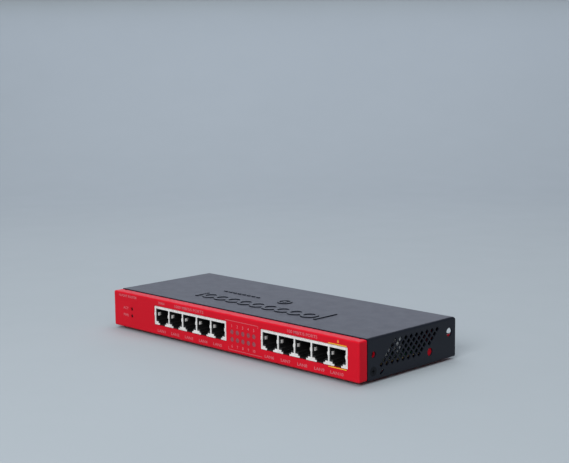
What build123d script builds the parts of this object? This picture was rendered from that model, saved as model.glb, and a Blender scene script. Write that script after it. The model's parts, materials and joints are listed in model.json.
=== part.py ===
"""Desktop firewall appliance: a red sheet-steel tray, a dark steel cover and the electronics between them.

Row frame: +X to the right as seen from the front, front panel towards -Y, +Z up.
The origin is on the surface the feet stand on, under the centre of the case.
"""

from build123d import *
import os

os.makedirs("parts", exist_ok=True)

# ---------------------------------------------------------------- driving dimensions, in millimetres
CASE_WIDTH = 230.0
CASE_DEPTH = 90.0
CASE_HEIGHT = 25.0
FOOT_HEIGHT = 2.0
SHEET = 1.0  # thickness of both steel pressings
TRAY_BEND = 1.1  # outside radius of the tray's bends
COVER_BEND = 1.4  # outside radius along the sides of the cover
COVER_REAR_BEND = 2.2
COVER_REAR_CORNER = 1.0
RETURN_DEPTH = 6.9  # how far the red front panel wraps on to the top and sides
COVER_GAP = 0.8  # joint line between the red wrap and the cover
COVER_STEP = 0.5  # the cover's top stands this much higher than the red wrap
FLANGE_GAP = 0.15  # between a cover wall and the tray flange behind it

BOARD_THICKNESS = 1.6
STANDOFF_HEIGHT = 4.2
BOARD_WIDTH = 217.0
BOARD_FRONT_SETBACK = 6.0
BOARD_REAR_SETBACK = 3.4

PORT_PITCH = 14.1
PORTS_PER_GROUP = 5
PORT_GROUP_WIDTH = 72.1
PORT_GROUP_HEIGHT = 12.7
PORT_GROUP_DEPTH = 17.6
LEFT_GROUP_X = -34.1
RIGHT_GROUP_X = 70.0

LIGHT_PITCH = 5.04  # between the columns of port lights
LIGHT_CENTRE_X = 17.65
LIGHT_ROWS = (8.8, 13.7)  # heights above the case bottom
LIGHT_DIAMETER = 2.9
STATUS_X = -95.0
STATUS_DIAMETER = 2.3

# ---------------------------------------------------------------- planes and levels derived from them
FRONT = -CASE_DEPTH / 2
REAR = CASE_DEPTH / 2
SIDE = CASE_WIDTH / 2
CASE_BOTTOM = FOOT_HEIGHT
CASE_TOP = CASE_BOTTOM + CASE_HEIGHT
WRAP_TOP = CASE_TOP - COVER_STEP
WRAP_END = FRONT + RETURN_DEPTH
COVER_FRONT = WRAP_END + COVER_GAP
FLANGE_OUTER = SIDE - SHEET - FLANGE_GAP
FLANGE_INNER = FLANGE_OUTER - SHEET
TRAY_REAR = REAR - SHEET - FLANGE_GAP
FLOOR = CASE_BOTTOM + SHEET
BOARD_BOTTOM = FLOOR + STANDOFF_HEIGHT
BOARD_TOP = BOARD_BOTTOM + BOARD_THICKNESS
BOARD_FRONT = FRONT + BOARD_FRONT_SETBACK
BOARD_REAR = REAR - BOARD_REAR_SETBACK
PORT_BOTTOM = BOARD_TOP + 0.2
PORT_TOP = PORT_BOTTOM + PORT_GROUP_HEIGHT
PORT_BACK = FRONT + PORT_GROUP_DEPTH
PORT_OFFSETS = [(i - (PORTS_PER_GROUP - 1) / 2) * PORT_PITCH for i in range(PORTS_PER_GROUP)]

# Features on each side wall, as distances (Y, height above the case bottom)
VENT_FIRST = (-25.2, 7.5)
VENT_STEP = 2.48
VENT_COUNTS = (8, 8, 9, 9, 9, 9)  # holes in each row, from the lowest
VENT_HOLE = 2.6
BRACKET_POINT = (-32.1, 14.8)
BRACKET_HOLE_RADIUS = 2.0
BRACKET_THREAD_RADIUS = 1.25
COVER_SCREW_POINT = (-32.5, 4.9)
LATCH_SLOT_POINT = (-24.75, 3.25)
LATCH_SLOT_SIZE = (4.2, 1.5)
LATCH_SLOT_SLOPE = 35.0
SPARE_HOLE_POINT = (20.0, 6.95)
SPARE_HOLE_RADIUS = 2.5
CABLE_HOLE_POINT = (38.9, 16.05)
CABLE_HOLE_RADIUS = 2.75

# Features on the rear wall, as distances (X, height above the case bottom)
ANTENNA_X = 109.4
ANTENNA_HEIGHT = 16.8
ANTENNA_RADIUS = 3.25
REAR_SCREW_X = 92.0
REAR_SCREW_HEIGHT = 11.5
JACK_X = -76.0
JACK_SIZE = (9.0, 14.4, 11.0)
JACK_FACE = REAR - 0.4
JACK_AXIS = BOARD_TOP + 6.3
JACK_BORE_RADIUS = 3.2
JACK_BORE_DEPTH = 10.5
JACK_PIN_RADIUS = 1.0
JACK_PIN_LENGTH = 9.5
RESET_X = -56.0
RESET_AXIS = BOARD_TOP + 2.3
RESET_TRAVEL = 0.3
PLUNGER_RADIUS = 1.0

SCREW_RADIUS = 1.5
SCREW_CLEARANCE = 0.2
SCREW_HEAD_RADIUS = 2.9
SCREW_HEAD_DEPTH = 1.1
SCREW_LENGTH = 4.6
CROSS_WIDTH = 0.6
CROSS_DEPTH = 0.8
NUT_RADIUS = 2.6
NUT_LENGTH = 1.6

BOARD_SCREW_POINTS = [(-104, 36), (0, 36), (104, 36), (-104, -11), (17, -22), (104, -11)]
FOOT_POINTS = [(-98, -28), (98, -28), (-98, 30), (98, 30)]

# Raised pressing on the top: a chain of rings between two bars, with a dotted line and a ring behind it
RELIEF_HEIGHT = 0.5
CHAIN_Y = -14.4
CHAIN_COUNT = 9
CHAIN_PITCH = 11.6
CHAIN_RING = (12.2, 12.4)
CHAIN_LINE = 2.3
CHAIN_BARS = [(-55.5, CHAIN_RING[1]), (56.0, 21.0)]  # X and length, both starting level with the rings
DOT_LINE_START = (-51.0, 3.4)
DOT_LINE_PITCH = 4.6
DOT_COUNT = 8
MARK_POINT = (5.5, 4.6)
MARK_RADII = (5.2, 3.6, 1.7)  # outer and inner radius of the ring, and radius of the dot in it


def height(above_case_bottom):
    """Z of a level given as a height above the case bottom."""
    return CASE_BOTTOM + above_case_bottom


def save(piece, label):
    """Name a finished piece and write its STEP file."""
    piece.part.label = label
    export_step(piece.part, f"parts/{label}.step")


def block(x_range, y_range, z_range, mode=Mode.ADD):
    """A plain block between three pairs of limits, in the open BuildPart."""
    sizes = [high - low for low, high in (x_range, y_range, z_range)]
    middle = [(high + low) / 2 for low, high in (x_range, y_range, z_range)]
    with Locations(tuple(middle)):
        return Box(*sizes, mode=mode)


def side_points(point):
    """One feature of the side walls, as (X sign, Y, Z) on the right and on the left."""
    return [(sign, point[0], height(point[1])) for sign in (1, -1)]


def side_plane(sign, x):
    """A plane across a side wall whose local X is the row's Y and whose normal points outwards."""
    return Plane(origin=(sign * x, 0, 0), x_dir=(0, sign, 0), z_dir=(sign, 0, 0))


def rear_plane(y):
    """A plane across the rear wall whose normal points to the rear, with local X along -X."""
    return Plane(origin=(0, y, 0), x_dir=(-1, 0, 0), z_dir=(0, 1, 0))


def port_window_profile(main_width, main_low, main_high, step_width, step_low, latch_width, latch_low):
    """The stepped outline of a modular socket with its latch downwards, about the socket's centre line."""
    half = [(main_width / 2, main_high), (main_width / 2, main_low)]
    half += [(step_width / 2, main_low), (step_width / 2, step_low)]
    half += [(latch_width / 2, step_low), (latch_width / 2, latch_low)]
    mirrored = [(-x, z) for x, z in reversed(half)]
    return half + mirrored


# ---------------------------------------------------------------- red base tray
FLANGE_CORNER = 1.3  # the 45 degree cut on a corner of a flange
FLANGE_TAB_END = -28.2
FLANGE_TAB_HEIGHT = 20.0
LATCH_NOTCH_END = -21.4
LATCH_NOTCH_HEIGHT = 1.4
FLANGE_HEIGHT = 5.6
SPARE_TAB = (SPARE_HOLE_POINT[0] - 5.5, SPARE_HOLE_POINT[0] + 5.5)
SPARE_TAB_HEIGHT = 10.4
REAR_TAB_START = 31.0
REAR_TAB_HEIGHT = 14.4
REAR_UPSTAND_HEIGHT = 5.4
REAR_SCREW_TAB = (12.0, 16.0)  # width, and height above the case bottom
PORT_CLEARANCE = 0.25
PORT_HOLE = (PORT_GROUP_WIDTH + 2 * PORT_CLEARANCE, PORT_GROUP_HEIGHT + 2 * PORT_CLEARANCE)
LIGHT_CLEARANCE = 0.1
RELIEF_NOTCH_RADIUS = 0.8
RELIEF_NOTCH_INSET = 5.0

# outline of the flange inside each side wall, as (Y, height above the case bottom) from front to rear
SIDE_FLANGE = [
    (WRAP_END, 0),
    (WRAP_END, FLANGE_TAB_HEIGHT),
    (FLANGE_TAB_END - FLANGE_CORNER, FLANGE_TAB_HEIGHT),
    (FLANGE_TAB_END, FLANGE_TAB_HEIGHT - FLANGE_CORNER),
    (FLANGE_TAB_END, LATCH_NOTCH_HEIGHT),
    (LATCH_NOTCH_END, LATCH_NOTCH_HEIGHT),
    (LATCH_NOTCH_END, FLANGE_HEIGHT),
    (SPARE_TAB[0], FLANGE_HEIGHT),
    (SPARE_TAB[0], SPARE_TAB_HEIGHT - FLANGE_CORNER),
    (SPARE_TAB[0] + FLANGE_CORNER, SPARE_TAB_HEIGHT),
    (SPARE_TAB[1] - FLANGE_CORNER, SPARE_TAB_HEIGHT),
    (SPARE_TAB[1], SPARE_TAB_HEIGHT - FLANGE_CORNER),
    (SPARE_TAB[1], FLANGE_HEIGHT),
    (REAR_TAB_START, FLANGE_HEIGHT),
    (REAR_TAB_START, REAR_TAB_HEIGHT - FLANGE_CORNER),
    (REAR_TAB_START + FLANGE_CORNER, REAR_TAB_HEIGHT),
    (TRAY_REAR - FLANGE_CORNER, REAR_TAB_HEIGHT),
    (TRAY_REAR, REAR_TAB_HEIGHT - FLANGE_CORNER),
    (TRAY_REAR, 0),
]

with BuildPart() as base_tray:
    # front panel with its returns on the top, the bottom and both sides
    block((-SIDE, SIDE), (FRONT, WRAP_END), (CASE_BOTTOM, WRAP_TOP))
    bends = base_tray.faces().sort_by(Axis.Y)[0].edges() + base_tray.edges().filter_by(Axis.Y)
    fillet(bends, TRAY_BEND)
    inside_x = (-SIDE + SHEET, SIDE - SHEET)
    block(inside_x, (FRONT + SHEET, WRAP_END), (FLOOR, WRAP_TOP - SHEET), Mode.SUBTRACT)
    # floor, side flanges and a low rear upstand with a raised tab behind each rear screw
    block((-FLANGE_OUTER, FLANGE_OUTER), (WRAP_END - SHEET, TRAY_REAR), (CASE_BOTTOM, FLOOR))
    for sign in (1, -1):
        with BuildSketch(side_plane(sign, FLANGE_OUTER)):
            with BuildLine():
                Polyline([(sign * y, height(level)) for y, level in SIDE_FLANGE], close=True)
            make_face()
        extrude(amount=-SHEET)
    upstand_y = (TRAY_REAR - SHEET, TRAY_REAR)
    block((-FLANGE_INNER, FLANGE_INNER), upstand_y, (FLOOR, height(REAR_UPSTAND_HEIGHT)))
    for x in (REAR_SCREW_X, -REAR_SCREW_X):
        half_tab = REAR_SCREW_TAB[0] / 2
        block((x - half_tab, x + half_tab), upstand_y, (FLOOR, height(REAR_SCREW_TAB[1])))
    # openings in the front panel for the two socket blocks, the port lights and the status lights
    with BuildSketch(Plane.XZ.offset(-FRONT)):
        port_middle = (PORT_BOTTOM + PORT_TOP) / 2
        with Locations((LEFT_GROUP_X, port_middle), (RIGHT_GROUP_X, port_middle)):
            RectangleRounded(PORT_HOLE[0], PORT_HOLE[1], 0.6)
        for row in LIGHT_ROWS:
            with Locations((LIGHT_CENTRE_X, height(row))):
                with GridLocations(LIGHT_PITCH, 1, PORTS_PER_GROUP, 1):
                    Circle(LIGHT_DIAMETER / 2 + LIGHT_CLEARANCE)
            with Locations((STATUS_X, height(row))):
                Circle(STATUS_DIAMETER / 2 + LIGHT_CLEARANCE)
    extrude(amount=-SHEET, mode=Mode.SUBTRACT)
    # a clearance hole for each cover screw, and a tapped one for each bracket screw
    screw_hole = (COVER_SCREW_POINT, SCREW_RADIUS + SCREW_CLEARANCE)
    for point, radius in (screw_hole, (BRACKET_POINT, BRACKET_THREAD_RADIUS)):
        for sign, y, z in side_points(point):
            with BuildSketch(side_plane(sign, FLANGE_OUTER)):
                with Locations((sign * y, z)):
                    Circle(radius)
            extrude(amount=-SHEET, mode=Mode.SUBTRACT)
    with BuildSketch(rear_plane(TRAY_REAR)):
        with Locations((REAR_SCREW_X, height(REAR_SCREW_HEIGHT)), (-REAR_SCREW_X, height(REAR_SCREW_HEIGHT))):
            Circle(SCREW_RADIUS + SCREW_CLEARANCE)
    extrude(amount=-SHEET, mode=Mode.SUBTRACT)
    # bend-relief notches at the ends of the top return
    with BuildSketch(Plane.XY.offset(WRAP_TOP)):
        with Locations((SIDE - RELIEF_NOTCH_INSET, WRAP_END), (-SIDE + RELIEF_NOTCH_INSET, WRAP_END)):
            Circle(RELIEF_NOTCH_RADIUS)
    extrude(amount=-SHEET, mode=Mode.SUBTRACT)
save(base_tray, "base_tray")

# ---------------------------------------------------------------- dark top cover
VENT_CORNER = 0.5
SEAM_WIDTH = 0.4
SEAM_TOP = CASE_TOP - 2.4
RESET_HOLE_RADIUS = 1.2
JACK_CUTOUT = (JACK_SIZE[0] + 0.8, JACK_SIZE[2] + 0.6, 1.0)  # width, height and corner radius

with BuildSketch() as relief:
    for i in range(CHAIN_COUNT):
        with Locations(((i - (CHAIN_COUNT - 1) / 2) * CHAIN_PITCH, CHAIN_Y)):
            Ellipse(CHAIN_RING[0] / 2, CHAIN_RING[1] / 2)
    for i in range(CHAIN_COUNT):
        with Locations(((i - (CHAIN_COUNT - 1) / 2) * CHAIN_PITCH, CHAIN_Y)):
            Ellipse(CHAIN_RING[0] / 2 - CHAIN_LINE, CHAIN_RING[1] / 2 - CHAIN_LINE, mode=Mode.SUBTRACT)
    for x, length in CHAIN_BARS:
        with Locations((x, CHAIN_Y - CHAIN_RING[1] / 2 + length / 2)):
            SlotOverall(length, CHAIN_LINE, rotation=90)
    with Locations(*[(DOT_LINE_START[0] + i * DOT_LINE_PITCH, DOT_LINE_START[1]) for i in range(DOT_COUNT)]):
        SlotOverall(3.4, 1.6)
    with Locations(MARK_POINT):
        Circle(MARK_RADII[0])
        Circle(MARK_RADII[1], mode=Mode.SUBTRACT)
        Circle(MARK_RADII[2])

with BuildPart() as top_cover:
    # solid outline: the side view's rounded rear, crossed with the front view's rounded top
    with BuildSketch(Plane.YZ.offset(-SIDE)) as side_view:
        with Locations(((COVER_FRONT + REAR) / 2, (CASE_BOTTOM + CASE_TOP) / 2)):
            Rectangle(REAR - COVER_FRONT, CASE_HEIGHT)
        lower_rear, upper_rear = side_view.vertices().sort_by(Axis.X)[-2:].sort_by(Axis.Y)
        fillet(upper_rear, COVER_REAR_BEND)
        fillet(side_view.vertices().sort_by(Axis.Y)[:2].sort_by(Axis.X)[-1], COVER_REAR_CORNER)
    extrude(amount=CASE_WIDTH)
    with BuildSketch(Plane.XZ.offset(-REAR)) as front_view:
        with Locations((0, (CASE_BOTTOM + CASE_TOP) / 2)):
            Rectangle(CASE_WIDTH, CASE_HEIGHT)
        fillet(front_view.vertices().sort_by(Axis.Y)[-2:], COVER_BEND)
    extrude(amount=CASE_DEPTH, mode=Mode.INTERSECT)
    block(inside_x, (COVER_FRONT, REAR - SHEET), (CASE_BOTTOM, CASE_TOP - SHEET), Mode.SUBTRACT)
    # the rear wall is folded down between the side walls, so a narrow seam stays open at each end
    for seam in (SIDE - SHEET - SEAM_WIDTH / 2, -SIDE + SHEET + SEAM_WIDTH / 2):
        seam_x = (seam - SEAM_WIDTH / 2, seam + SEAM_WIDTH / 2)
        block(seam_x, (REAR - SHEET, REAR), (CASE_BOTTOM, SEAM_TOP), Mode.SUBTRACT)
    for sign in (1, -1):
        # vent field: staggered rows of rounded diamonds
        with BuildSketch(side_plane(sign, SIDE)):
            for row, count in enumerate(VENT_COUNTS):
                first_y = VENT_FIRST[0] + row * VENT_STEP
                z = height(VENT_FIRST[1] + row * VENT_STEP)
                with Locations(*[(sign * (first_y + 2 * VENT_STEP * i), z) for i in range(count)]):
                    RectangleRounded(VENT_HOLE, VENT_HOLE, VENT_CORNER, rotation=45)
        extrude(amount=-SHEET, mode=Mode.SUBTRACT)
        with BuildSketch(side_plane(sign, SIDE)):
            with Locations((sign * BRACKET_POINT[0], height(BRACKET_POINT[1]))):
                Circle(BRACKET_HOLE_RADIUS)
            with Locations((sign * SPARE_HOLE_POINT[0], height(SPARE_HOLE_POINT[1]))):
                Circle(SPARE_HOLE_RADIUS)
            with Locations((sign * CABLE_HOLE_POINT[0], height(CABLE_HOLE_POINT[1]))):
                Circle(CABLE_HOLE_RADIUS)
            with Locations((sign * LATCH_SLOT_POINT[0], height(LATCH_SLOT_POINT[1]))):
                SlotOverall(*LATCH_SLOT_SIZE, rotation=sign * LATCH_SLOT_SLOPE)
        extrude(amount=-SHEET, mode=Mode.SUBTRACT)
        screw_place = Location((sign * COVER_SCREW_POINT[0], height(COVER_SCREW_POINT[1]), 0))
        with Locations(side_plane(sign, SIDE) * screw_place):
            CounterSinkHole(SCREW_RADIUS + SCREW_CLEARANCE, SCREW_HEAD_RADIUS, depth=SHEET)
    # rear wall: screws, antenna holes, power jack and reset pinhole
    with Locations(rear_plane(REAR)):
        with Locations((REAR_SCREW_X, height(REAR_SCREW_HEIGHT)), (-REAR_SCREW_X, height(REAR_SCREW_HEIGHT))):
            CounterSinkHole(SCREW_RADIUS + SCREW_CLEARANCE, SCREW_HEAD_RADIUS, depth=SHEET)
    with BuildSketch(rear_plane(REAR)):
        with Locations((ANTENNA_X, height(ANTENNA_HEIGHT)), (-ANTENNA_X, height(ANTENNA_HEIGHT))):
            Circle(ANTENNA_RADIUS)
        with Locations((-JACK_X, BOARD_TOP + JACK_SIZE[2] / 2)):
            RectangleRounded(*JACK_CUTOUT)
        with Locations((-RESET_X, RESET_AXIS)):
            Circle(RESET_HOLE_RADIUS)
    extrude(amount=-SHEET, mode=Mode.SUBTRACT)
    # the pressing stands up from the top, and the same shape is hollow underneath
    extrude(relief.sketch.moved(Location((0, 0, CASE_TOP))), amount=RELIEF_HEIGHT, dir=(0, 0, 1))
    hollow = relief.sketch.moved(Location((0, 0, CASE_TOP - SHEET)))
    extrude(hollow, amount=RELIEF_HEIGHT, dir=(0, 0, 1), mode=Mode.SUBTRACT)
save(top_cover, "top_cover")

# ---------------------------------------------------------------- fasteners and feet
FROM_TOP = (Align.CENTER, Align.CENTER, Align.MAX)
FROM_BOTTOM = (Align.CENTER, Align.CENTER, Align.MIN)
REAR_SCREWS = [Location((x, height(REAR_SCREW_HEIGHT), 0)) for x in (REAR_SCREW_X, -REAR_SCREW_X)]


def side_places(point, x):
    """The outward-facing places of one feature on the right and left walls, x from the middle."""
    return [side_plane(sign, x) * Location((sign * y, z, 0)) for sign, y, z in side_points(point)]


def cross_recess(length):
    """A cross cut into a screw head from the surface at each open location."""
    Box(length, CROSS_WIDTH, CROSS_DEPTH, align=FROM_TOP, mode=Mode.SUBTRACT)
    Box(CROSS_WIDTH, length, CROSS_DEPTH, align=FROM_TOP, mode=Mode.SUBTRACT)


def weld_nut(place, radius):
    """A round nut behind a flange, bored to a radius, with its face on an outward-facing place."""
    with Locations(place):
        Cylinder(NUT_RADIUS, NUT_LENGTH, align=FROM_TOP)
        Cylinder(radius, NUT_LENGTH, align=FROM_TOP, mode=Mode.SUBTRACT)


with BuildPart() as cover_screws:
    for place in side_places(COVER_SCREW_POINT, SIDE) + [rear_plane(REAR) * spot for spot in REAR_SCREWS]:
        with Locations(place):
            Cone(SCREW_RADIUS, SCREW_HEAD_RADIUS, SCREW_HEAD_DEPTH, align=FROM_TOP)
            Cylinder(SCREW_RADIUS, SCREW_LENGTH, align=FROM_TOP)
            cross_recess(2.8)
save(cover_screws, "cover_screws")

with BuildPart() as cover_nuts:
    nut_places = side_places(COVER_SCREW_POINT, FLANGE_INNER)
    nut_places += [rear_plane(TRAY_REAR - SHEET) * spot for spot in REAR_SCREWS]
    for place in nut_places:
        weld_nut(place, SCREW_RADIUS)
save(cover_nuts, "cover_nuts")

for place, side in zip(side_places(BRACKET_POINT, FLANGE_INNER), ("right", "left")):
    with BuildPart() as bracket_nut:
        weld_nut(place, BRACKET_THREAD_RADIUS)
    save(bracket_nut, f"bracket_nut_{side}")

with BuildPart() as rubber_feet:
    with Locations(*[(x, y, 0) for x, y in FOOT_POINTS]):
        Cylinder(5.0, FOOT_HEIGHT, align=FROM_BOTTOM)
    fillet(rubber_feet.edges().filter_by(GeomType.CIRCLE).group_by(Axis.Z)[0], 0.6)
save(rubber_feet, "rubber_feet")

with BuildPart() as board_standoffs:
    with Locations(*[(x, y, FLOOR) for x, y in BOARD_SCREW_POINTS]):
        Cylinder(3.0, STANDOFF_HEIGHT, align=FROM_BOTTOM)
        Cylinder(SCREW_RADIUS, STANDOFF_HEIGHT, align=FROM_BOTTOM, mode=Mode.SUBTRACT)
save(board_standoffs, "board_standoffs")

with BuildPart() as board_screws:
    with Locations(*[(x, y, BOARD_TOP) for x, y in BOARD_SCREW_POINTS]):
        Cylinder(2.8, 1.8, align=FROM_BOTTOM)
        Cylinder(SCREW_RADIUS, 4.2, align=FROM_TOP)
    fillet(board_screws.edges().filter_by(GeomType.CIRCLE).group_by(Axis.Z)[-1], 0.7)
    with Locations(*[(x, y, BOARD_TOP + 1.8) for x, y in BOARD_SCREW_POINTS]):
        cross_recess(3.0)
save(board_screws, "board_screws")

# ---------------------------------------------------------------- circuit board
with BuildPart() as circuit_board:
    block((-BOARD_WIDTH / 2, BOARD_WIDTH / 2), (BOARD_FRONT, BOARD_REAR), (BOARD_BOTTOM, BOARD_TOP))
    fillet(circuit_board.edges().filter_by(Axis.Z), 1.5)
    with Locations(*[(x, y, BOARD_TOP) for x, y in BOARD_SCREW_POINTS]):
        Hole(SCREW_RADIUS + 0.1)
save(circuit_board, "circuit_board")


# ---------------------------------------------------------------- socket blocks
SHIELD_WALL = 0.3
SHIELD_FACE = FRONT + 0.25
HOUSING_GAP = 0.1
HOUSING_TOP = PORT_TOP - SHIELD_WALL - HOUSING_GAP
# each outline: main width, its lower and upper level, step width and level, latch width and level
WINDOW = (13.0, PORT_BOTTOM + 2.2, PORT_BOTTOM + 11.0, 8.4, PORT_BOTTOM + 1.1, 5.6, PORT_BOTTOM)
CAVITY = (11.9, PORT_BOTTOM + 3.3, PORT_BOTTOM + 10.6, 7.9, PORT_BOTTOM + 1.8, 5.4, PORT_BOTTOM + 0.4)
CAVITY_BACK = FRONT + 14.0
SPRING_HEIGHT = (PORT_BOTTOM + 5.9, PORT_BOTTOM + 8.0)
SPRING_THICKNESS = 0.25
SPRING_START = FRONT + 1.6
SPRING_END = FRONT + 4.8
SPRING_BOW = 0.62  # how far the spring's middle stands out from the window's edge
SPRING_FOLD = 0.8  # half the width of the fold that wraps each divider
POCKET_DEPTH = 0.95  # from the cavity's wall to behind the spring
POCKET_WALL = 0.48  # moulding left in front of the spring, between it and the plug
WIRES_PER_PORT = 8
WIRE_PITCH = 1.02
WIRE_SIZE = 0.4


def port_windows(centre_x, y, outline, depth):
    """Cut one stepped outline per socket to a depth behind the plane at y, from the open BuildPart."""
    for offset_x in PORT_OFFSETS:
        middle = centre_x + offset_x
        with BuildSketch(Plane.XZ.offset(-y)) as window:
            with BuildLine():
                Polyline([(middle + x, z) for x, z in port_window_profile(*outline)], close=True)
            make_face()
        extrude(window.sketch, amount=-depth, mode=Mode.SUBTRACT)


def grounding_spring(edge, sign):
    """One spring leaf beside a socket window: straight from the fold, then bowed towards the plug."""
    inner = edge + sign * 0.05
    outer = inner + sign * SPRING_THICKNESS
    middle_y = (SPRING_START + SPRING_END) / 2
    inner_tip = (edge - sign * SPRING_BOW, middle_y)
    outer_tip = (inner_tip[0] + sign * SPRING_THICKNESS, middle_y)
    with BuildSketch(Plane.XY.offset(SPRING_HEIGHT[0])) as leaf:
        with BuildLine():
            Line((inner, SHIELD_FACE), (inner, SPRING_START))
            ThreePointArc((inner, SPRING_START), inner_tip, (inner, SPRING_END))
            Line((inner, SPRING_END), (outer, SPRING_END))
            ThreePointArc((outer, SPRING_END), outer_tip, (outer, SPRING_START))
            Line((outer, SPRING_START), (outer, SHIELD_FACE))
            Line((outer, SHIELD_FACE), (inner, SHIELD_FACE))
        make_face()
    extrude(leaf.sketch, amount=SPRING_HEIGHT[1] - SPRING_HEIGHT[0])


def port_shield(centre_x, label):
    """Tinned-steel shell of one five-way socket block, with grounding springs beside every socket."""
    half = PORT_GROUP_WIDTH / 2
    inner_half = half - SHIELD_WALL
    with BuildPart() as shield:
        block((centre_x - half, centre_x + half), (SHIELD_FACE, PORT_BACK), (PORT_BOTTOM, PORT_TOP))
        fillet(shield.faces().sort_by(Axis.Y)[0].edges().filter_by(Axis.X).sort_by(Axis.Z)[-1], 0.5)
        inside_x = (centre_x - inner_half, centre_x + inner_half)
        inside_y = (SHIELD_FACE + SHIELD_WALL, PORT_BACK - SHIELD_WALL)
        block(inside_x, inside_y, (PORT_BOTTOM, PORT_TOP - SHIELD_WALL), Mode.SUBTRACT)
        port_windows(centre_x, SHIELD_FACE, WINDOW, SHIELD_WALL)
        for offset_x in PORT_OFFSETS:
            for sign in (1, -1):
                grounding_spring(centre_x + offset_x + sign * WINDOW[0] / 2, sign)
        # the springs of neighbouring sockets are one strip, folded over the divider between them
        for i in range(PORTS_PER_GROUP + 1):
            fold_x = centre_x + (i - PORTS_PER_GROUP / 2) * PORT_PITCH
            fold_y = (FRONT, SHIELD_FACE + SHIELD_WALL)
            block((fold_x - SPRING_FOLD, fold_x + SPRING_FOLD), fold_y, SPRING_HEIGHT)
    save(shield, label)


def port_housing(centre_x, label):
    """Black moulded insert of one block: five stepped cavities, each with a pocket for its springs."""
    half = PORT_GROUP_WIDTH / 2 - SHIELD_WALL - HOUSING_GAP
    face = SHIELD_FACE + SHIELD_WALL + HOUSING_GAP
    back = PORT_BACK - SHIELD_WALL - HOUSING_GAP
    with BuildPart() as housing:
        block((centre_x - half, centre_x + half), (face, back), (PORT_BOTTOM, HOUSING_TOP))
        port_windows(centre_x, face, CAVITY, CAVITY_BACK - face)
        for offset_x in PORT_OFFSETS:
            middle = centre_x + offset_x
            reach = CAVITY[0] / 2 + POCKET_DEPTH
            wall = CAVITY[0] / 2 + POCKET_WALL
            pocket_z = (SPRING_HEIGHT[0] - 0.2, SPRING_HEIGHT[1] + 0.2)
            pocket_back = SPRING_END + 0.4
            block((middle - reach, middle + reach), (SPRING_START, pocket_back), pocket_z, Mode.SUBTRACT)
            for slot_x in ((middle - reach, middle - wall), (middle + wall, middle + reach)):
                block(slot_x, (face, pocket_back), pocket_z, Mode.SUBTRACT)
    save(housing, label)


def port_contacts(centre_x, label):
    """Eight spring wires in the roof of every socket, as flat gold-plated strips set in the moulding."""
    front_y = FRONT + 1.9
    roof = CAVITY[2]
    profile = [
        (CAVITY_BACK - 2.2, roof + 0.9),
        (front_y, roof + 0.9),
        (front_y, roof + 0.1),
        (CAVITY_BACK - 1.2, roof - 2.3),
        (CAVITY_BACK - 1.2, roof - 2.3 + WIRE_SIZE),
        (front_y + 2.0, roof + 0.1),
        (front_y + 2.0, roof + 0.9 - WIRE_SIZE),
        (CAVITY_BACK - 2.2, roof + 0.9 - WIRE_SIZE),
    ]
    with BuildPart() as contacts:
        for offset_x in PORT_OFFSETS:
            for i in range(WIRES_PER_PORT):
                wire_x = centre_x + offset_x + (i - (WIRES_PER_PORT - 1) / 2) * WIRE_PITCH - WIRE_SIZE / 2
                with BuildSketch(Plane.YZ.offset(wire_x)):
                    with BuildLine():
                        Polyline(profile, close=True)
                    make_face()
                extrude(amount=WIRE_SIZE)
    save(contacts, label)


for group, group_x in (("left", LEFT_GROUP_X), ("right", RIGHT_GROUP_X)):
    port_shield(group_x, f"port_shield_{group}")
    port_housing(group_x, f"port_housing_{group}")
    port_contacts(group_x, f"port_contacts_{group}")

# ---------------------------------------------------------------- lights and their light guides
LED_SIZE = (1.8, 1.0, 0.9)
UPPER_LED_Y = FRONT + 13.0
LOWER_GUIDE_END = FRONT + 9.0
LOW_ROW, HIGH_ROW = [height(row) for row in LIGHT_ROWS]
LIGHT_COLUMNS = [LIGHT_CENTRE_X + (i - 2) * LIGHT_PITCH for i in range(PORTS_PER_GROUP)]
CARRIER_MARGIN = 3.0
CARRIER_Y = (FRONT + 3.6, FRONT + 5.4)
CARRIER_Z = (BOARD_TOP + 0.1, HIGH_ROW + 2.4)


def guide_rods(columns, radius, front_y):
    """Clear rods behind the panel holes: the lower ones straight, the upper ones bent down to the board."""
    for x in columns:
        with BuildLine() as bent:
            corner = (x, UPPER_LED_Y, HIGH_ROW)
            foot = (x, UPPER_LED_Y, BOARD_TOP + LED_SIZE[2] + 0.1)
            FilletPolyline((x, front_y, HIGH_ROW), corner, foot, radius=2.4)
        with BuildSketch(Plane(origin=(x, front_y, HIGH_ROW), z_dir=(0, 1, 0))) as upper_section:
            Circle(radius)
        sweep(upper_section.sketch, path=bent.line)
        with BuildSketch(Plane(origin=(x, front_y, LOW_ROW), z_dir=(0, 1, 0))) as lower_section:
            Circle(radius)
        extrude(lower_section.sketch, amount=LOWER_GUIDE_END - front_y)


with BuildPart() as port_light_guide:
    guide_rods(LIGHT_COLUMNS, LIGHT_DIAMETER / 2, FRONT + 0.05)
    block((LIGHT_COLUMNS[0] - CARRIER_MARGIN, LIGHT_COLUMNS[-1] + CARRIER_MARGIN), CARRIER_Y, CARRIER_Z)
save(port_light_guide, "port_light_guide")

with BuildPart() as status_light_guide:
    guide_rods([STATUS_X], STATUS_DIAMETER / 2, FRONT + 0.7)
    block((STATUS_X - CARRIER_MARGIN, STATUS_X + CARRIER_MARGIN), CARRIER_Y, CARRIER_Z)
save(status_light_guide, "status_light_guide")


def led_pair(x):
    """A top-view chip LED under an upper rod and a side-view one behind a lower rod."""
    with Locations((x, UPPER_LED_Y, BOARD_TOP), (x, LOWER_GUIDE_END + 0.1 + LED_SIZE[1] / 2, BOARD_TOP)):
        Box(*LED_SIZE, align=FROM_BOTTOM)


with BuildPart() as port_leds:
    for column in LIGHT_COLUMNS:
        led_pair(column)
save(port_leds, "port_leds")

with BuildPart() as status_leds:
    led_pair(STATUS_X)
save(status_leds, "status_leds")

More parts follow.
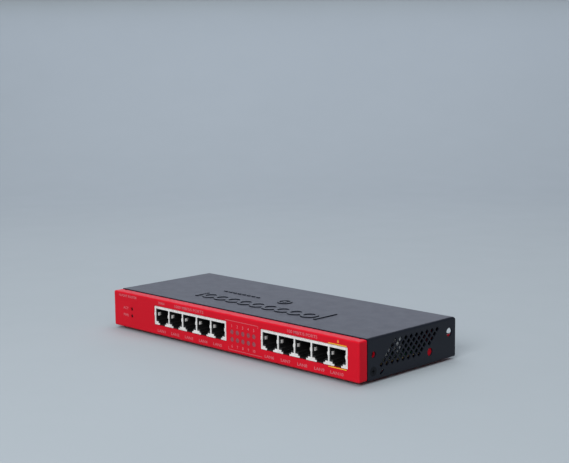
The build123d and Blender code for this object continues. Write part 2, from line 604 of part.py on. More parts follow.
# ---------------------------------------------------------------- power jack
JACK_BACK = JACK_FACE - JACK_SIZE[1]
JACK_RIGHT = JACK_X + JACK_SIZE[0] / 2
JACK_LEFT = JACK_X - JACK_SIZE[0] / 2
with BuildPart() as power_jack:
    block((JACK_LEFT, JACK_RIGHT), (JACK_BACK, JACK_FACE), (BOARD_TOP, BOARD_TOP + JACK_SIZE[2]))
    fillet(power_jack.edges().filter_by(Axis.Y).group_by(Axis.Z)[-1], 1.2)
    with Locations(rear_plane(JACK_FACE) * Location((-JACK_X, JACK_AXIS, 0))):
        Cylinder(JACK_BORE_RADIUS, JACK_BORE_DEPTH, align=FROM_TOP, mode=Mode.SUBTRACT)
save(power_jack, "power_jack")

with BuildPart() as power_jack_pin:
    with Locations(rear_plane(JACK_FACE - JACK_BORE_DEPTH) * Location((-JACK_X, JACK_AXIS, 0))):
        Cylinder(JACK_PIN_RADIUS, JACK_PIN_LENGTH, align=FROM_BOTTOM)
    fillet(power_jack_pin.edges().filter_by(GeomType.CIRCLE).sort_by(Axis.Y)[-1], 0.4)
save(power_jack_pin, "power_jack_pin")

with BuildPart() as power_jack_terminals:
    block((JACK_X - 1.2, JACK_X + 1.2), (JACK_BACK - 0.4, JACK_BACK), (BOARD_TOP, JACK_AXIS + 1.0))
    block((JACK_RIGHT, JACK_RIGHT + 0.3), (JACK_BACK + 3.0, JACK_BACK + 6.0), (BOARD_TOP, JACK_AXIS))
save(power_jack_terminals, "power_jack_terminals")

# ---------------------------------------------------------------- reset switch
SWITCH_FRONT = BOARD_REAR - 5.4
SWITCH_REAR = BOARD_REAR - 0.6
COLLAR_LENGTH = 0.8
COLLAR_RADIUS = 1.6
PLUNGER_TIP = REAR - SHEET - 0.4
COLLAR_REAR = SWITCH_REAR - 0.8
with BuildPart() as reset_switch:
    block((RESET_X - 3.0, RESET_X + 3.0), (SWITCH_FRONT, SWITCH_REAR), (BOARD_TOP, BOARD_TOP + 4.6))
    fillet(reset_switch.edges().filter_by(Axis.Y), 0.4)
    with Locations(rear_plane(SWITCH_REAR) * Location((-RESET_X, RESET_AXIS, 0))):
        Cylinder(PLUNGER_RADIUS + 0.06, 3.0, align=FROM_TOP, mode=Mode.SUBTRACT)
    with Locations(rear_plane(COLLAR_REAR + 0.05) * Location((-RESET_X, RESET_AXIS, 0))):
        recess = COLLAR_LENGTH + 0.05 + 2 * RESET_TRAVEL
        Cylinder(COLLAR_RADIUS + 0.15, recess, align=FROM_TOP, mode=Mode.SUBTRACT)
save(reset_switch, "reset_switch")

with BuildPart() as reset_plunger:
    with Locations(rear_plane(PLUNGER_TIP) * Location((-RESET_X, RESET_AXIS, 0))):
        Cylinder(PLUNGER_RADIUS, PLUNGER_TIP - COLLAR_REAR + 0.2, align=FROM_TOP)
    fillet(reset_plunger.edges().filter_by(GeomType.CIRCLE).sort_by(Axis.Y)[-1], 0.3)
    with Locations(rear_plane(COLLAR_REAR) * Location((-RESET_X, RESET_AXIS, 0))):
        Cylinder(COLLAR_RADIUS, COLLAR_LENGTH, align=FROM_TOP)
save(reset_plunger, "reset_plunger")


# ---------------------------------------------------------------- chips and other parts on the board
def chip(centre, size, label):
    """A flat moulded package standing on the board, with a pin-one dimple."""
    with BuildPart() as package:
        with Locations((*centre, BOARD_TOP)):
            Box(*size, align=FROM_BOTTOM)
        chamfer(package.edges().group_by(Axis.Z)[-1], 0.2)
        dimple = (centre[0] - size[0] / 2 + 1.8, centre[1] - size[1] / 2 + 1.8, BOARD_TOP + size[2])
        with Locations(dimple):
            Cylinder(0.6, 0.2, mode=Mode.SUBTRACT)
    save(package, label)


PROCESSOR_CENTRE = (10.0, 9.0)
PROCESSOR_HEIGHT = 1.5
PAD_HEIGHT = 0.5
HEATSINK_SIZE = (28.0, 28.0, 9.0)
FIN_COUNT = 8
FIN_THICKNESS = 1.2
chip(PROCESSOR_CENTRE, (19.0, 19.0, PROCESSOR_HEIGHT), "processor")
chip((-35.0, -2.0), (20.0, 20.0, 1.6), "gigabit_switch_chip")
chip((69.0, -2.0), (14.0, 14.0, 1.4), "fast_switch_chip")
chip((42.0, 12.0), (22.0, 10.2, 1.2), "memory_chip")
chip((40.0, 29.0), (18.4, 12.0, 1.2), "flash_chip")

with BuildPart() as thermal_pad:
    with Locations((*PROCESSOR_CENTRE, BOARD_TOP + PROCESSOR_HEIGHT)):
        Box(18.0, 18.0, PAD_HEIGHT, align=FROM_BOTTOM)
save(thermal_pad, "thermal_pad")

with BuildPart() as heatsink:
    with Locations((*PROCESSOR_CENTRE, BOARD_TOP + PROCESSOR_HEIGHT + PAD_HEIGHT)):
        Box(HEATSINK_SIZE[0], HEATSINK_SIZE[1], 2.0, align=FROM_BOTTOM)
        with GridLocations((HEATSINK_SIZE[0] - FIN_THICKNESS) / (FIN_COUNT - 1), 1, FIN_COUNT, 1):
            Box(FIN_THICKNESS, HEATSINK_SIZE[1], HEATSINK_SIZE[2], align=FROM_BOTTOM)
save(heatsink, "heatsink")

TRANSFORMER_SIZE = (12.7, 9.4, 6.4)
for group, group_x in (("left", LEFT_GROUP_X), ("right", RIGHT_GROUP_X)):
    with BuildPart() as transformers:
        with Locations(*[(group_x + x, PORT_BACK + 7.5, BOARD_TOP) for x in PORT_OFFSETS]):
            Box(*TRANSFORMER_SIZE, align=FROM_BOTTOM)
        chamfer(transformers.edges().group_by(Axis.Z)[-1], 0.4)
    save(transformers, f"port_transformers_{group}")

CAPACITOR_POINTS = [(-96, 24), (-96, 12), (-62, 18), (99, -4), (99, 7)]
with BuildPart() as capacitors:
    with Locations(*[(x, y, BOARD_TOP) for x, y in CAPACITOR_POINTS]):
        Cylinder(4.0, 11.5, align=FROM_BOTTOM)
    fillet(capacitors.edges().filter_by(GeomType.CIRCLE), 0.6)
save(capacitors, "capacitors")

with BuildPart() as power_inductors:
    with Locations((-82, 0, BOARD_TOP), (-82, 15, BOARD_TOP)):
        Box(12.0, 12.0, 6.0, align=FROM_BOTTOM)
    fillet(power_inductors.edges().filter_by(Axis.Z), 2.5)
    chamfer(power_inductors.edges().group_by(Axis.Z)[-1], 0.5)
save(power_inductors, "power_inductors")

with BuildPart() as crystals:
    with Locations((-16, 26, BOARD_TOP), (-56, 2, BOARD_TOP), (54, -4, BOARD_TOP)):
        Box(11.2, 4.6, 3.5, align=FROM_BOTTOM)
    fillet(crystals.edges().filter_by(Axis.Z), 2.2)
save(crystals, "crystals")

with BuildPart() as regulators:
    with Locations((-68, 5, BOARD_TOP), (-38, 24, BOARD_TOP), (84, 14, BOARD_TOP)):
        Box(5.0, 4.0, 1.6, align=FROM_BOTTOM)
    chamfer(regulators.edges().group_by(Axis.Z)[-1], 0.3)
save(regulators, "regulators")

# rows of small chip parts along two edges of each large chip: (centre X, centre Y, columns)
CHIP_PART_ROWS = [(-35, 11.5, 8), (-35, -12.8, 8), (69, 8.0, 6), (10, 27.0, 9), (42, 4.0, 6), (-70, 24.0, 4)]
with BuildPart() as chip_parts:
    for centre_x, centre_y, columns in CHIP_PART_ROWS:
        with Locations((centre_x, centre_y, BOARD_TOP)):
            with GridLocations(2.6, 2.0, columns, 1):
                Box(1.6, 0.8, 0.6, align=FROM_BOTTOM)
save(chip_parts, "chip_parts")
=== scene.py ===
"""Looks of the desktop firewall appliance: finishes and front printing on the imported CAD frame."""
import json
import math

import bmesh
import bpy
from mathutils import Matrix, Vector


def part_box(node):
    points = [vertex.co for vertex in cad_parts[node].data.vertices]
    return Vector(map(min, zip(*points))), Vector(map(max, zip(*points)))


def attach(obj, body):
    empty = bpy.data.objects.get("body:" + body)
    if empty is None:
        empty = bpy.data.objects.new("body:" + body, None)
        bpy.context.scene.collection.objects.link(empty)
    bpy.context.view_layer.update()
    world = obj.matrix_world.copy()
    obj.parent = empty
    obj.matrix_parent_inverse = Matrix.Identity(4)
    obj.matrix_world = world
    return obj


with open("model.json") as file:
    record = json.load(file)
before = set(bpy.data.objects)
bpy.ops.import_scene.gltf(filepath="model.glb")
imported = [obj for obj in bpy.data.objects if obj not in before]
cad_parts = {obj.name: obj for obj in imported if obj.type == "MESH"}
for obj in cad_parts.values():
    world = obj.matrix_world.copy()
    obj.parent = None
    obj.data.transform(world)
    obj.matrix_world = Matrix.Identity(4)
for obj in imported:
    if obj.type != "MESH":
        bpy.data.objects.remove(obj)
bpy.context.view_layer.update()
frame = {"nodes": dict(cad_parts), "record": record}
nodes = frame["nodes"]
MM = 0.001

# ---------------------------------------------------------------- places taken from the CAD frame
TRAY_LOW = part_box("base_tray")[0]
FRONT_Y = TRAY_LOW.y
CASE_BOTTOM = TRAY_LOW.z
SOCKETS = {
    opening["name"]: opening["box_m"]
    for opening in frame["record"]["physics"]["openings"]
    if opening["name"].startswith("lan_socket_")
}
SOCKET_X = [(SOCKETS[f"lan_socket_{n}"][0][0] + SOCKETS[f"lan_socket_{n}"][1][0]) / 2 for n in range(1, 11)]
SHIELD_LOW, SHIELD_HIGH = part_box("port_shield_right")
GUIDE_LOW, GUIDE_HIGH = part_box("port_light_guide")
GUIDE_MARGIN = 3.0 * MM  # from the outer lights to the ends of their carrier
LIGHT_PITCH = (GUIDE_HIGH.x - GUIDE_LOW.x - 2 * GUIDE_MARGIN) / 4
LIGHT_X = [GUIDE_LOW.x + GUIDE_MARGIN + i * LIGHT_PITCH for i in range(5)]


# ---------------------------------------------------------------- node helpers
class Shader:
    """A principled material under construction, with textures in row-frame metres."""

    def __init__(self, name):
        self.material = bpy.data.materials.new(name)
        self.material.use_nodes = True
        self.tree = self.material.node_tree
        self.surface = self.tree.nodes["Principled BSDF"]
        self.place = self.add("ShaderNodeTexCoord").outputs["Object"]

    def add(self, kind, **settings):
        made = self.tree.nodes.new(kind)
        for key, value in settings.items():
            setattr(made, key, value)
        return made

    def link(self, source, target):
        self.tree.links.new(source, target)

    def put(self, socket, value):
        """A fixed number or colour on one of the shader's own sockets."""
        self.surface.inputs[socket].default_value = value

    def noise(self, size, detail=3.0, roughness=0.55, stretch=(1, 1, 1)):
        """Noise whose blobs are about size metres across, as a 0 to 1 output."""
        place = self.place
        if stretch != (1, 1, 1):
            mapping = self.add("ShaderNodeMapping")
            mapping.inputs["Scale"].default_value = stretch
            self.link(place, mapping.inputs["Vector"])
            place = mapping.outputs["Vector"]
        texture = self.add("ShaderNodeTexNoise")
        texture.inputs["Scale"].default_value = 1 / size
        texture.inputs["Detail"].default_value = detail
        texture.inputs["Roughness"].default_value = roughness
        self.link(place, texture.inputs["Vector"])
        return texture.outputs["Fac"]

    def ramp(self, source, low, high, start=0.0, end=1.0):
        """source mapped from low..high to start..end, and held at both ends."""
        mapped = self.add("ShaderNodeMapRange")
        for socket, value in (("From Min", low), ("From Max", high), ("To Min", start), ("To Max", end)):
            mapped.inputs[socket].default_value = value
        self.link(source, mapped.inputs["Value"])
        return mapped.outputs["Result"]

    def math(self, operation, first, second):
        """A maths node on two outputs or numbers."""
        made = self.add("ShaderNodeMath", operation=operation)
        for socket, value in zip(made.inputs, (first, second)):
            if isinstance(value, (int, float)):
                socket.default_value = value
            else:
                self.link(value, socket)
        return made.outputs["Value"]

    def mix(self, factor, first, second):
        """A colour between first and second, each an rgb tuple or an output."""
        made = self.add("ShaderNodeMix", data_type="RGBA")
        sockets = [s for s in made.inputs if s.type == "RGBA"]
        self.link(factor, made.inputs["Factor"])
        for socket, value in zip(sockets, (first, second)):
            if isinstance(value, tuple):
                socket.default_value = (*value, 1.0)
            else:
                self.link(value, socket)
        return next(s for s in made.outputs if s.type == "RGBA")

    def bump(self, source, depth, after=None):
        """A bump of the given depth in metres, on top of an earlier bump if there is one."""
        made = self.add("ShaderNodeBump")
        made.inputs["Strength"].default_value = 1.0
        made.inputs["Distance"].default_value = depth
        self.link(source, made.inputs["Height"])
        if after is not None:
            self.link(after, made.inputs["Normal"])
        return made.outputs["Normal"]

    def edges(self, radius):
        """0 on flat faces and up to 1 on convex or concave edges sharper than radius."""
        rounded = self.add("ShaderNodeBevel", samples=4)
        rounded.inputs["Radius"].default_value = radius
        true = self.add("ShaderNodeNewGeometry").outputs["Normal"]
        dot = self.add("ShaderNodeVectorMath", operation="DOT_PRODUCT")
        self.link(rounded.outputs["Normal"], dot.inputs[0])
        self.link(true, dot.inputs[1])
        return self.ramp(dot.outputs["Value"], 0.97, 0.75)

    def colour(self, source):
        self.link(source, self.surface.inputs["Base Color"])

    def roughness(self, source):
        self.link(source, self.surface.inputs["Roughness"])

    def normal(self, source):
        self.link(source, self.surface.inputs["Normal"])


# ---------------------------------------------------------------- materials
def powder_coat(name, colour, deep, roughness, grain, depth, specular):
    """Painted sheet steel: orange-peel grain, faint blotches and painted shade that darkens the paint along
    its edges and bends.
    """
    s = Shader(name)
    blotch = s.noise(28 * MM, detail=4)
    base = s.mix(s.ramp(blotch, 0.35, 0.65), deep, colour)
    speck = s.noise(grain * 1.7, detail=2)
    lighter = tuple(1.25 * c + 0.002 for c in colour)
    fleck = s.mix(s.ramp(speck, 0.6, 0.8, 0.0, 0.5), base, lighter)
    # painted shade: the paint is darkened along convex and concave edges, standing in for the dark look of
    # the bends
    darker_tone = tuple(0.55 * c for c in colour)
    s.colour(s.mix(s.math("MULTIPLY", s.edges(0.4 * MM), 0.5), fleck, darker_tone))
    handled = s.noise(9 * MM, detail=5, roughness=0.7)
    s.roughness(s.ramp(handled, 0.3, 0.7, roughness - 0.02, roughness + 0.03))
    peel = s.bump(s.noise(grain, detail=2), depth)
    s.normal(s.bump(s.noise(grain * 6, detail=1), depth * 0.6, peel))
    s.put("Specular IOR Level", specular)
    return s.material


def bare_metal(name, colour, roughness, streak=(1, 1, 12), grain=0.5 * MM, metallic=1.0):
    """Rolled or plated sheet: fine streaks and darker marks. Dull tin is only partly metallic."""
    s = Shader(name)
    s.put("Metallic", metallic)
    lines = s.noise(grain, detail=4, stretch=streak)
    marks = s.noise(4 * MM, detail=5, roughness=0.7)
    darker = tuple(0.72 * c for c in colour)
    s.colour(s.mix(s.ramp(marks, 0.42, 0.7, 0.0, 0.8), colour, darker))
    s.roughness(s.ramp(lines, 0.25, 0.75, roughness - 0.08, roughness + 0.12))
    s.normal(s.bump(lines, 0.006 * MM))
    return s.material


def moulded(name, colour, roughness, grain=0.35 * MM, depth=0.01 * MM, sheen=0.0):
    """Moulded plastic: spark-eroded grain, slight flow marks and a painted highlight that makes the edges
    paler.
    """
    s = Shader(name)
    flow = s.noise(6 * MM, detail=3, stretch=(1, 1, 3))
    lighter = tuple(min(1.0, 1.35 * c + 0.004) for c in colour)
    # painted highlight: the plastic is made paler along its convex and concave edges
    painted_edge_highlight = tuple(min(1.0, 2.0 * c + 0.004) for c in colour)
    base = s.mix(s.ramp(flow, 0.35, 0.7), colour, lighter)
    s.colour(s.mix(s.math("MULTIPLY", s.edges(0.25 * MM), 0.5), base, painted_edge_highlight))
    s.roughness(s.ramp(s.noise(2 * MM, detail=4), 0.3, 0.7, roughness - 0.06, roughness + 0.08))
    s.normal(s.bump(s.noise(grain, detail=2), depth))
    s.put("Sheen Weight", sheen)
    return s.material


def light_plastic(name, colour, deep, roughness, transmission):
    """Translucent plastic of light guides and lamp lenses, with a cloudy core."""
    s = Shader(name)
    cloud = s.noise(1.6 * MM, detail=3)
    s.colour(s.mix(s.ramp(cloud, 0.3, 0.7), deep, colour))
    s.roughness(s.ramp(s.noise(0.8 * MM), 0.3, 0.7, roughness, roughness + 0.12))
    s.normal(s.bump(s.noise(0.5 * MM, detail=1), 0.012 * MM))
    s.put("Specular IOR Level", 0.25)
    s.put("Transmission Weight", transmission)
    s.put("IOR", 1.49)
    s.put("Subsurface Weight", 0.25)
    s.put("Subsurface Radius", (2 * MM, 1.5 * MM, 1.5 * MM))
    s.put("Subsurface Scale", 0.5)
    return s.material


def board_laminate(name):
    """Circuit board: green mask over copper tracks, bare vias, and tan glass laminate on its edges."""
    s = Shader(name)
    track_spacing, via_spacing = 5.5 * MM, 4.2 * MM
    cells = s.add("ShaderNodeTexVoronoi", distance="MANHATTAN", feature="DISTANCE_TO_EDGE")
    cells.inputs["Scale"].default_value = 1 / track_spacing
    s.link(s.place, cells.inputs["Vector"])
    track = s.ramp(cells.outputs["Distance"], 0.045, 0.06, 1.0, 0.0)
    vias = s.add("ShaderNodeTexVoronoi", feature="F1")
    vias.inputs["Scale"].default_value = 1 / via_spacing
    s.link(s.place, vias.inputs["Vector"])
    via = s.ramp(vias.outputs["Distance"], 0.085, 0.1, 1.0, 0.0)
    mask = s.mix(s.ramp(s.noise(15 * MM), 0.3, 0.7), (0.008, 0.075, 0.035), (0.012, 0.1, 0.045))
    tracked = s.mix(track, mask, (0.03, 0.2, 0.08))
    drilled = s.mix(via, tracked, (0.55, 0.42, 0.18))
    split = s.add("ShaderNodeSeparateXYZ")
    s.link(s.add("ShaderNodeNewGeometry").outputs["Normal"], split.inputs["Vector"])
    side = s.ramp(s.math("ABSOLUTE", split.outputs["Z"], 0.0), 0.5, 0.6, 1.0, 0.0)
    layers = s.noise(0.3 * MM, detail=2, stretch=(0.15, 0.15, 3))
    edge = s.mix(s.ramp(layers, 0.35, 0.65), (0.36, 0.27, 0.11), (0.55, 0.43, 0.2))
    s.colour(s.mix(side, drilled, edge))
    s.roughness(s.ramp(s.noise(3 * MM), 0.3, 0.7, 0.28, 0.42))
    s.normal(s.bump(s.math("ADD", track, via), 0.03 * MM))
    return s.material


def ink(name, colour):
    """Screen-printed ink: slightly uneven cover with soft mottling."""
    s = Shader(name)
    cover = s.noise(0.7 * MM, detail=3)
    darker_tone = tuple(0.72 * c for c in colour)
    s.colour(s.mix(s.ramp(cover, 0.4, 0.75), darker_tone, colour))
    s.roughness(s.ramp(cover, 0.3, 0.7, 0.5, 0.65))
    s.normal(s.bump(s.noise(0.2 * MM), 0.004 * MM))
    return s.material


RED_PAINT, RED_SHADE = (0.58, 0.0065, 0.019), (0.53, 0.006, 0.017)
DARK_PAINT, DARK_SHADE = (0.0085, 0.0105, 0.0175), (0.0075, 0.0092, 0.0158)
SCREW_BLACK, SCREW_SHADE = (0.0055, 0.0065, 0.010), (0.0045, 0.0055, 0.0085)
RED = powder_coat("red_powder_coat", RED_PAINT, RED_SHADE, 0.40, 0.35 * MM, 0.010 * MM, 0.08)
DARK = powder_coat("dark_powder_coat", DARK_PAINT, DARK_SHADE, 0.36, 0.3 * MM, 0.010 * MM, 0.2)
MATERIALS = {
    "base_tray": RED,
    "top_cover": DARK,
    "cover_screws": powder_coat("black_screw", SCREW_BLACK, SCREW_SHADE, 0.5, 0.2 * MM, 0.006 * MM, 0.15),
    "rubber_feet": moulded(
        "foot_rubber", (0.018, 0.018, 0.018), 0.8, grain=0.25 * MM, depth=0.03 * MM, sheen=0.2
    ),
    "circuit_board": board_laminate("board_laminate"),
    "port_light_guide": light_plastic("milky_light_guide", (0.30, 0.07, 0.09), (0.23, 0.05, 0.065), 0.5, 0.0),
    "status_light_guide": light_plastic(
        "dark_light_guide", (0.03, 0.008, 0.012), (0.015, 0.005, 0.008), 0.2, 0.1
    ),
    "thermal_pad": moulded("thermal_pad", (0.33, 0.36, 0.4), 0.75),
    "heatsink": bare_metal("anodised_heatsink", (0.48, 0.49, 0.5), 0.42, streak=(6, 1, 1)),
    "capacitors": bare_metal("capacitor_can", (0.8, 0.8, 0.8), 0.28, streak=(1, 1, 6)),
    "power_inductors": moulded("inductor_ferrite", (0.05, 0.05, 0.055), 0.6, grain=0.5 * MM, depth=0.02 * MM),
    "crystals": bare_metal("crystal_can", (0.75, 0.74, 0.7), 0.3, streak=(8, 1, 1)),
    "chip_parts": moulded("ceramic_parts", (0.36, 0.25, 0.13), 0.45),
    "power_jack": moulded("jack_plastic", (0.012, 0.012, 0.013), 0.3),
    "reset_switch": moulded("switch_plastic", (0.02, 0.02, 0.02), 0.45),
    "reset_plunger": moulded("plunger_plastic", (0.5, 0.46, 0.38), 0.4),
}
TINNED = bare_metal("tinned_steel", (0.98, 0.94, 0.90), 0.26, streak=(1, 1, 8), metallic=0.45)
ZINC = bare_metal("zinc_plate", (0.62, 0.62, 0.6), 0.36, streak=(3, 3, 3))
# painted shade: this gold is darker than real gold plate, as the contacts sit in shade deep inside the
# sockets
SHADED_GOLD = bare_metal("gold_plate", (0.5, 0.33, 0.11), 0.34, streak=(1, 6, 1))
NICKEL = bare_metal("nickel_contact", (0.72, 0.68, 0.58), 0.25, streak=(1, 6, 1))
SOCKET_BLACK = moulded("socket_plastic", (0.003, 0.003, 0.0034), 0.5)
CHIP_BLACK = moulded("chip_plastic", (0.016, 0.016, 0.017), 0.55, grain=0.25 * MM, depth=0.015 * MM)
LED_BODY = light_plastic("led_lens", (0.8, 0.76, 0.5), (0.65, 0.6, 0.38), 0.2, 0.1)
SHARED = {
    "port_shield": TINNED,
    "port_housing": SOCKET_BLACK,
    "port_contacts": SHADED_GOLD,
    "port_transformers": CHIP_BLACK,
    "port_leds": LED_BODY,
    "status_leds": LED_BODY,
    "bracket_nut": ZINC,
    "cover_nuts": ZINC,
    "board_standoffs": ZINC,
    "board_screws": ZINC,
    "power_jack_pin": NICKEL,
    "power_jack_terminals": NICKEL,
    "processor": CHIP_BLACK,
    "gigabit_switch_chip": CHIP_BLACK,
    "fast_switch_chip": CHIP_BLACK,
    "memory_chip": CHIP_BLACK,
    "flash_chip": CHIP_BLACK,
    "regulators": CHIP_BLACK,
}


def finish_for(node):
    """The material of one CAD node: its own, or the one its family shares."""
    if node in MATERIALS:
        return MATERIALS[node]
    family = max((prefix for prefix in SHARED if node.startswith(prefix)), key=len)
    return SHARED[family]


for name, node in nodes.items():
    for material_slot in node.material_slots:
        material_slot.link = "OBJECT"
        material_slot.material = finish_for(name)


# ---------------------------------------------------------------- printing on the front panel
INK_RAISE = 0.015 * MM
FONT_SIZE_PER_CAPITAL = 1.38  # a capital letter is 0.72 of the font size high
STROKE_SWELL = 0.04 * MM  # thickens the letters' strokes
DROP_SIDES = 24
PALE_INK = ink("pale_ink", (0.66, 0.15, 0.18))
AMBER_INK = ink("amber_ink", (0.92, 0.50, 0.015))
ORANGE_INK = ink("orange_ink", (0.90, 0.28, 0.02))


def add_piece(name, mesh, material, body="case"):
    """Put a finished mesh in the scene, riding on a body."""
    piece = bpy.data.objects.new(name, mesh)
    bpy.context.scene.collection.objects.link(piece)
    mesh.materials.clear()
    mesh.materials.append(material)
    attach(piece, body)


def front_panel(x, above_bottom):
    """The transform that lays flat work on the front panel, at X and a height above the case bottom."""
    turn = Matrix.Rotation(math.radians(90), 4, "X")
    return Matrix.Translation((x, FRONT_Y - INK_RAISE, CASE_BOTTOM + above_bottom)) @ turn


def print_words(name, words, x, above_bottom, size, width=None):
    """Words centred on a place, as a flat mesh. size is the height of a capital, and width squeezes or
    stretches the words to fit."""
    curve = bpy.data.curves.new(name, "FONT")
    curve.body = words
    curve.size = size * FONT_SIZE_PER_CAPITAL
    curve.align_x = "CENTER"
    curve.align_y = "CENTER"
    curve.offset = STROKE_SWELL
    curve.resolution_u = 3
    text = bpy.data.objects.new(name + "_text", curve)
    bpy.context.scene.collection.objects.link(text)
    bpy.context.view_layer.update()
    mesh = bpy.data.meshes.new_from_object(text.evaluated_get(bpy.context.evaluated_depsgraph_get()))
    bpy.data.objects.remove(text)
    if width is not None:
        spread = max(v.co.x for v in mesh.vertices) - min(v.co.x for v in mesh.vertices)
        mesh.transform(Matrix.Diagonal((width / spread, 1, 1, 1)))
    mesh.transform(front_panel(x, above_bottom))
    add_piece(name, mesh, PALE_INK)


def print_path(name, points, width, material):
    """A printed line of constant width through points given as (X, height above the case bottom)."""
    work = bmesh.new()
    half = width / 2
    for (x0, z0), (x1, z1) in zip(points, points[1:]):
        start, end = Vector((x0, z0)), Vector((x1, z1))
        along = (end - start).normalized() * half
        across = Vector((-along.y, along.x))
        corners = (start - along + across, end + along + across, end + along - across, start - along - across)
        ring = [work.verts.new((c.x, FRONT_Y - INK_RAISE, CASE_BOTTOM + c.y)) for c in corners]
        work.faces.new(ring[::-1])
    mesh = bpy.data.meshes.new(name)
    work.to_mesh(mesh)
    work.free()
    add_piece(name, mesh, material)


def print_drop(name, x, above_bottom, radius, material):
    """A small printed drop: a disc drawn out to a point at its top."""
    work = bmesh.new()
    ring = []
    for i in range(DROP_SIDES):
        angle = math.tau * i / DROP_SIDES
        point = 1.0 + 0.5 * max(0.0, math.sin(angle)) ** 6
        height = above_bottom + radius * point * math.sin(angle)
        place = (x + radius * math.cos(angle), FRONT_Y - INK_RAISE, CASE_BOTTOM + height)
        ring.append(work.verts.new(place))
    work.faces.new(ring)
    mesh = bpy.data.meshes.new(name)
    work.to_mesh(mesh)
    work.free()
    add_piece(name, mesh, material)


TEXT_SIZE = 1.9 * MM  # the height of a capital
SOCKET_LABEL_HEIGHT = 3.0 * MM  # this and the heights below are above the case bottom
SOCKET_LABEL_SHIFT = 0.4 * MM  # each label stands a little left of its socket's centre
SOCKET_LABEL_WIDTH, LAST_LABEL_WIDTH = 8.2 * MM, 10.4 * MM  # the last number has two figures
GROUP_LABEL_HEIGHT = 22.1 * MM
for number, x in enumerate(SOCKET_X, start=1):
    width = LAST_LABEL_WIDTH if number == len(SOCKET_X) else SOCKET_LABEL_WIDTH
    x -= SOCKET_LABEL_SHIFT
    print_words(f"label_socket_{number}", f"LAN{number}", x, SOCKET_LABEL_HEIGHT, TEXT_SIZE, width)
LABELS = [  # name, words, X, height, size, width
    ("label_first_socket", "WAN", -62.6 * MM, GROUP_LABEL_HEIGHT, TEXT_SIZE, 6.4 * MM),
    ("label_left_group", "1000 MBIT/S PORTS", -34.5 * MM, GROUP_LABEL_HEIGHT, TEXT_SIZE, 29.0 * MM),
    ("label_right_group", "100 MBIT/S PORTS", 69.5 * MM, GROUP_LABEL_HEIGHT, TEXT_SIZE, 25.0 * MM),
    ("label_model", "10-PORT ROUTER", -99.5 * MM, GROUP_LABEL_HEIGHT, 1.7 * MM, 19.8 * MM),
    ("label_activity", "ACT", -101.6 * MM, 13.7 * MM, 1.8 * MM, 5.6 * MM),
    ("label_power", "PWR", -101.6 * MM, 8.8 * MM, 1.8 * MM, 5.6 * MM),
]
for label in LABELS:
    print_words(*label)
UPPER_NUMBER_HEIGHT, LOWER_NUMBER_HEIGHT = 17.55 * MM, 4.35 * MM
for number, x in enumerate(LIGHT_X, start=1):
    print_words(f"number_light_{number}", str(number), x, UPPER_NUMBER_HEIGHT, TEXT_SIZE)
    print_words(f"number_light_{number + 5}", str(number + 5), x, LOWER_NUMBER_HEIGHT, TEXT_SIZE)

LINE_WIDTH = 0.28 * MM
UPPER_LINE, UPPER_TICK_END = 20.85 * MM, 19.35 * MM
LOWER_LINE, LOWER_TICK_END = 2.05 * MM, 3.85 * MM
left_end, right_end = LIGHT_X[0] - 6.2 * MM, LIGHT_X[4] + 3.8 * MM
upper_line = [(left_end, UPPER_LINE), (right_end, UPPER_LINE), (right_end, UPPER_TICK_END)]
print_path("bracket_line_upper", upper_line, LINE_WIDTH, PALE_INK)
left_end, right_end = LIGHT_X[0] - 3.3 * MM, LIGHT_X[4] + 7.2 * MM
lower_line = [(left_end, LOWER_TICK_END), (left_end, LOWER_LINE), (right_end, LOWER_LINE)]
print_path("bracket_line_lower", lower_line, LINE_WIDTH, PALE_INK)

BAR_WIDTH = 0.6 * MM
BAR_CLEARANCE = 0.65 * MM  # from the metal shield to the middle of a bar
bar_left, bar_right = SOCKET_X[9] - 6.9 * MM, SOCKET_X[9] + 7.0 * MM
for edge, height in (("upper", SHIELD_HIGH.z + BAR_CLEARANCE), ("lower", SHIELD_LOW.z - BAR_CLEARANCE)):
    ends = [(bar_left, height - CASE_BOTTOM), (bar_right, height - CASE_BOTTOM)]
    print_path(f"amber_bar_{edge}", ends, BAR_WIDTH, AMBER_INK)
DROP_HEIGHT, DROP_RADIUS = 22.15 * MM, 0.75 * MM
print_drop("amber_mark", SOCKET_X[9] + 0.6 * MM, DROP_HEIGHT, DROP_RADIUS, ORANGE_INK)


# ---------------------------------------------------------------- stage, lights and camera
def stage_material(name, colour):
    """A matt floor with a barely uneven colour."""
    s = Shader(name)
    s.colour(s.mix(s.ramp(s.noise(0.5), 0.3, 0.7), tuple(0.97 * c for c in colour), colour))
    s.roughness(s.ramp(s.noise(0.05), 0.3, 0.7, 0.75, 0.85))
    return s.material


def sweep_stage():
    """A pale floor that curves up into a backdrop well behind the object."""
    half_width, front, back, rise, radius = 4.0, -3.0, 1.6, 2.6, 0.8
    steps, turn_to_camera = 16, 45
    profile = [(front, 0.0), (back - radius, 0.0)]
    for i in range(1, steps + 1):
        angle = math.pi / 2 * i / steps
        profile.append((back - radius + radius * math.sin(angle), radius - radius * math.cos(angle)))
    profile.append((back, rise))
    work = bmesh.new()
    turn = Matrix.Rotation(math.radians(turn_to_camera), 3, "Z")
    rows = [[work.verts.new(turn @ Vector((x, y, z))) for y, z in profile] for x in (-half_width, half_width)]
    for i in range(len(profile) - 1):
        work.faces.new((rows[0][i], rows[1][i], rows[1][i + 1], rows[0][i + 1]))
    mesh = bpy.data.meshes.new("studio_floor")
    work.to_mesh(mesh)
    work.free()
    mesh.polygons.foreach_set("use_smooth", [True] * len(mesh.polygons))
    mesh.materials.append(stage_material("studio_grey", (0.33, 0.37, 0.40)))
    floor = bpy.data.objects.new("studio_floor", mesh)
    bpy.context.scene.collection.objects.link(floor)


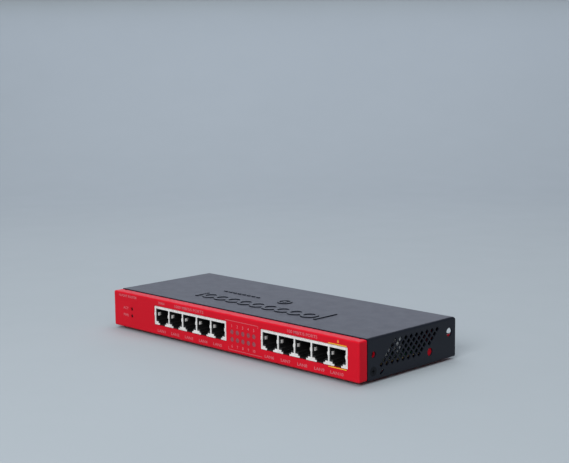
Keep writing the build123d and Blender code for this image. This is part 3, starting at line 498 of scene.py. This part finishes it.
def area_light(name, place, target, size, power, colour=(1, 1, 1)):
    """A rectangular softbox of the given size in metres and power in watts, aimed at target."""
    data = bpy.data.lights.new(name, "AREA")
    data.shape = "RECTANGLE"
    data.size, data.size_y = size
    data.energy = power
    data.color = colour
    light = bpy.data.objects.new(name, data)
    light.location = place
    light.rotation_euler = (Vector(target) - Vector(place)).to_track_quat("-Z", "Y").to_euler()
    bpy.context.scene.collection.objects.link(light)


sweep_stage()
area_light("overhead_softbox", (-0.1, 0.1, 1.5), (0, 0, 0), (1.6, 1.6), 18)
area_light("front_softbox", (0.65, -1.5, 0.98), (0, 0, 0), (1.0, 0.8), 27)
area_light("side_kicker", (1.0, -0.47, 0.14), (0, 0, 0), (0.22, 0.22), 0.3)
area_light("back_softbox", (-0.95, 0.95, 0.5), (0, 0, 0.05), (1.6, 0.35), 2.35, (0.9, 0.94, 1.16))

SKY_COLOUR, SKY_STRENGTH = (0.72, 0.8, 0.88, 1), 0.35
world = bpy.data.worlds.new("studio_world")
world.use_nodes = True
background = world.node_tree.nodes["Background"]
background.inputs["Color"].default_value = SKY_COLOUR
background.inputs["Strength"].default_value = SKY_STRENGTH
bpy.context.scene.world = world

CAMERA_AZIMUTH = 45.207
CAMERA_ELEVATION = 8.279
CAMERA_ROLL = -0.595
CAMERA_DISTANCE = 0.80299
CAMERA_LENS, CAMERA_SENSOR = 76.39, 36.0  # millimetres
CAMERA_CLIP = (0.01, 50)
CAMERA_ASIDE = (0.00664, 0.07147)  # right and up from the line of sight through the case's centre line


def add_camera():
    """The camera at the photograph's viewing angle."""
    data = bpy.data.cameras.new("camera")
    data.sensor_width = CAMERA_SENSOR
    data.lens = CAMERA_LENS
    data.clip_start, data.clip_end = CAMERA_CLIP
    camera = bpy.data.objects.new("camera", data)
    turn = Matrix.Rotation(math.radians(CAMERA_AZIMUTH), 4, "Z")
    turn = turn @ Matrix.Rotation(math.radians(90 - CAMERA_ELEVATION), 4, "X")
    turn = turn @ Matrix.Rotation(math.radians(CAMERA_ROLL), 4, "Z")
    offset = turn @ Vector((*CAMERA_ASIDE, CAMERA_DISTANCE))
    camera.matrix_world = Matrix.Translation(Vector((0, 0, CASE_BOTTOM)) + offset) @ turn
    bpy.context.scene.collection.objects.link(camera)
    bpy.context.scene.camera = camera


add_camera()
bpy.context.scene.view_settings.view_transform = "Standard"
